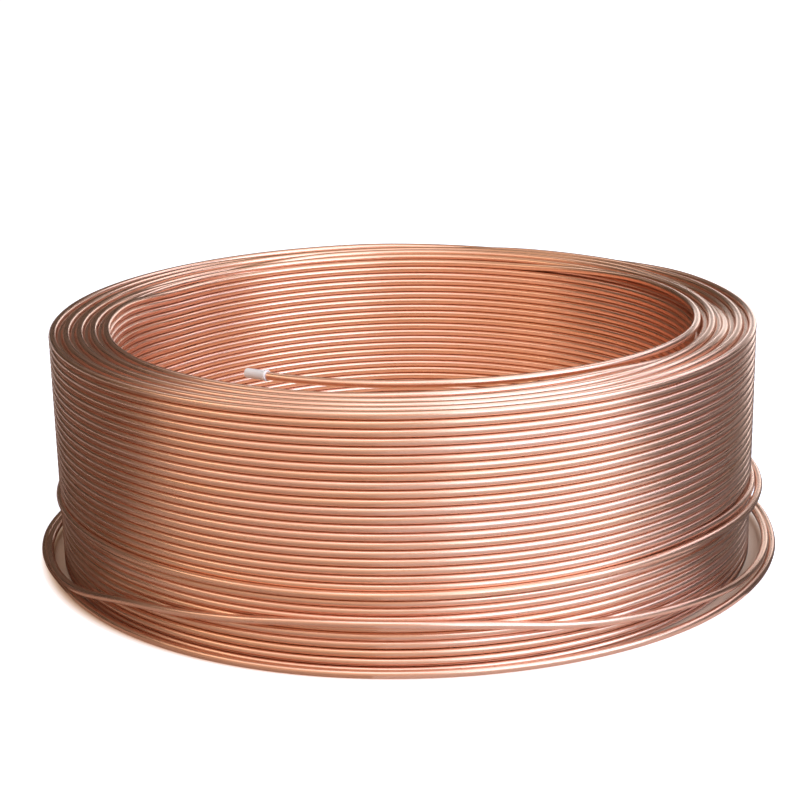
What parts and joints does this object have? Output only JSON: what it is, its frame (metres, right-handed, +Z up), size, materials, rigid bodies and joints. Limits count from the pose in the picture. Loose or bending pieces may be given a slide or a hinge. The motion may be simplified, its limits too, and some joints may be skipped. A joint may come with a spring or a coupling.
{
  "type": "copper tube coil",
  "caption": "Level-wound ring of bare copper tube standing on its end, with a wide clear bore, nested layers of turns, loose outer turns and capped free ends.",
  "frame": {"origin": "on the bore's axis, at the floor that the coil stands on", "axes": "+Z up along the bore's axis, -Y towards the viewer of the picture, +X to the viewer's right"},
  "size_m": [0.7981, 0.7784, 0.2512],
  "materials": {
    "copper": "bright drawn copper, satin, with fine drawing streaks",
    "cap": "frosted translucent white polyethylene"
  },
  "bodies": {
    "root": {"copper_tube": "copper", "inner_end_cap": "cap", "outer_end_cap": "cap"}
  },
  "joints": []
}
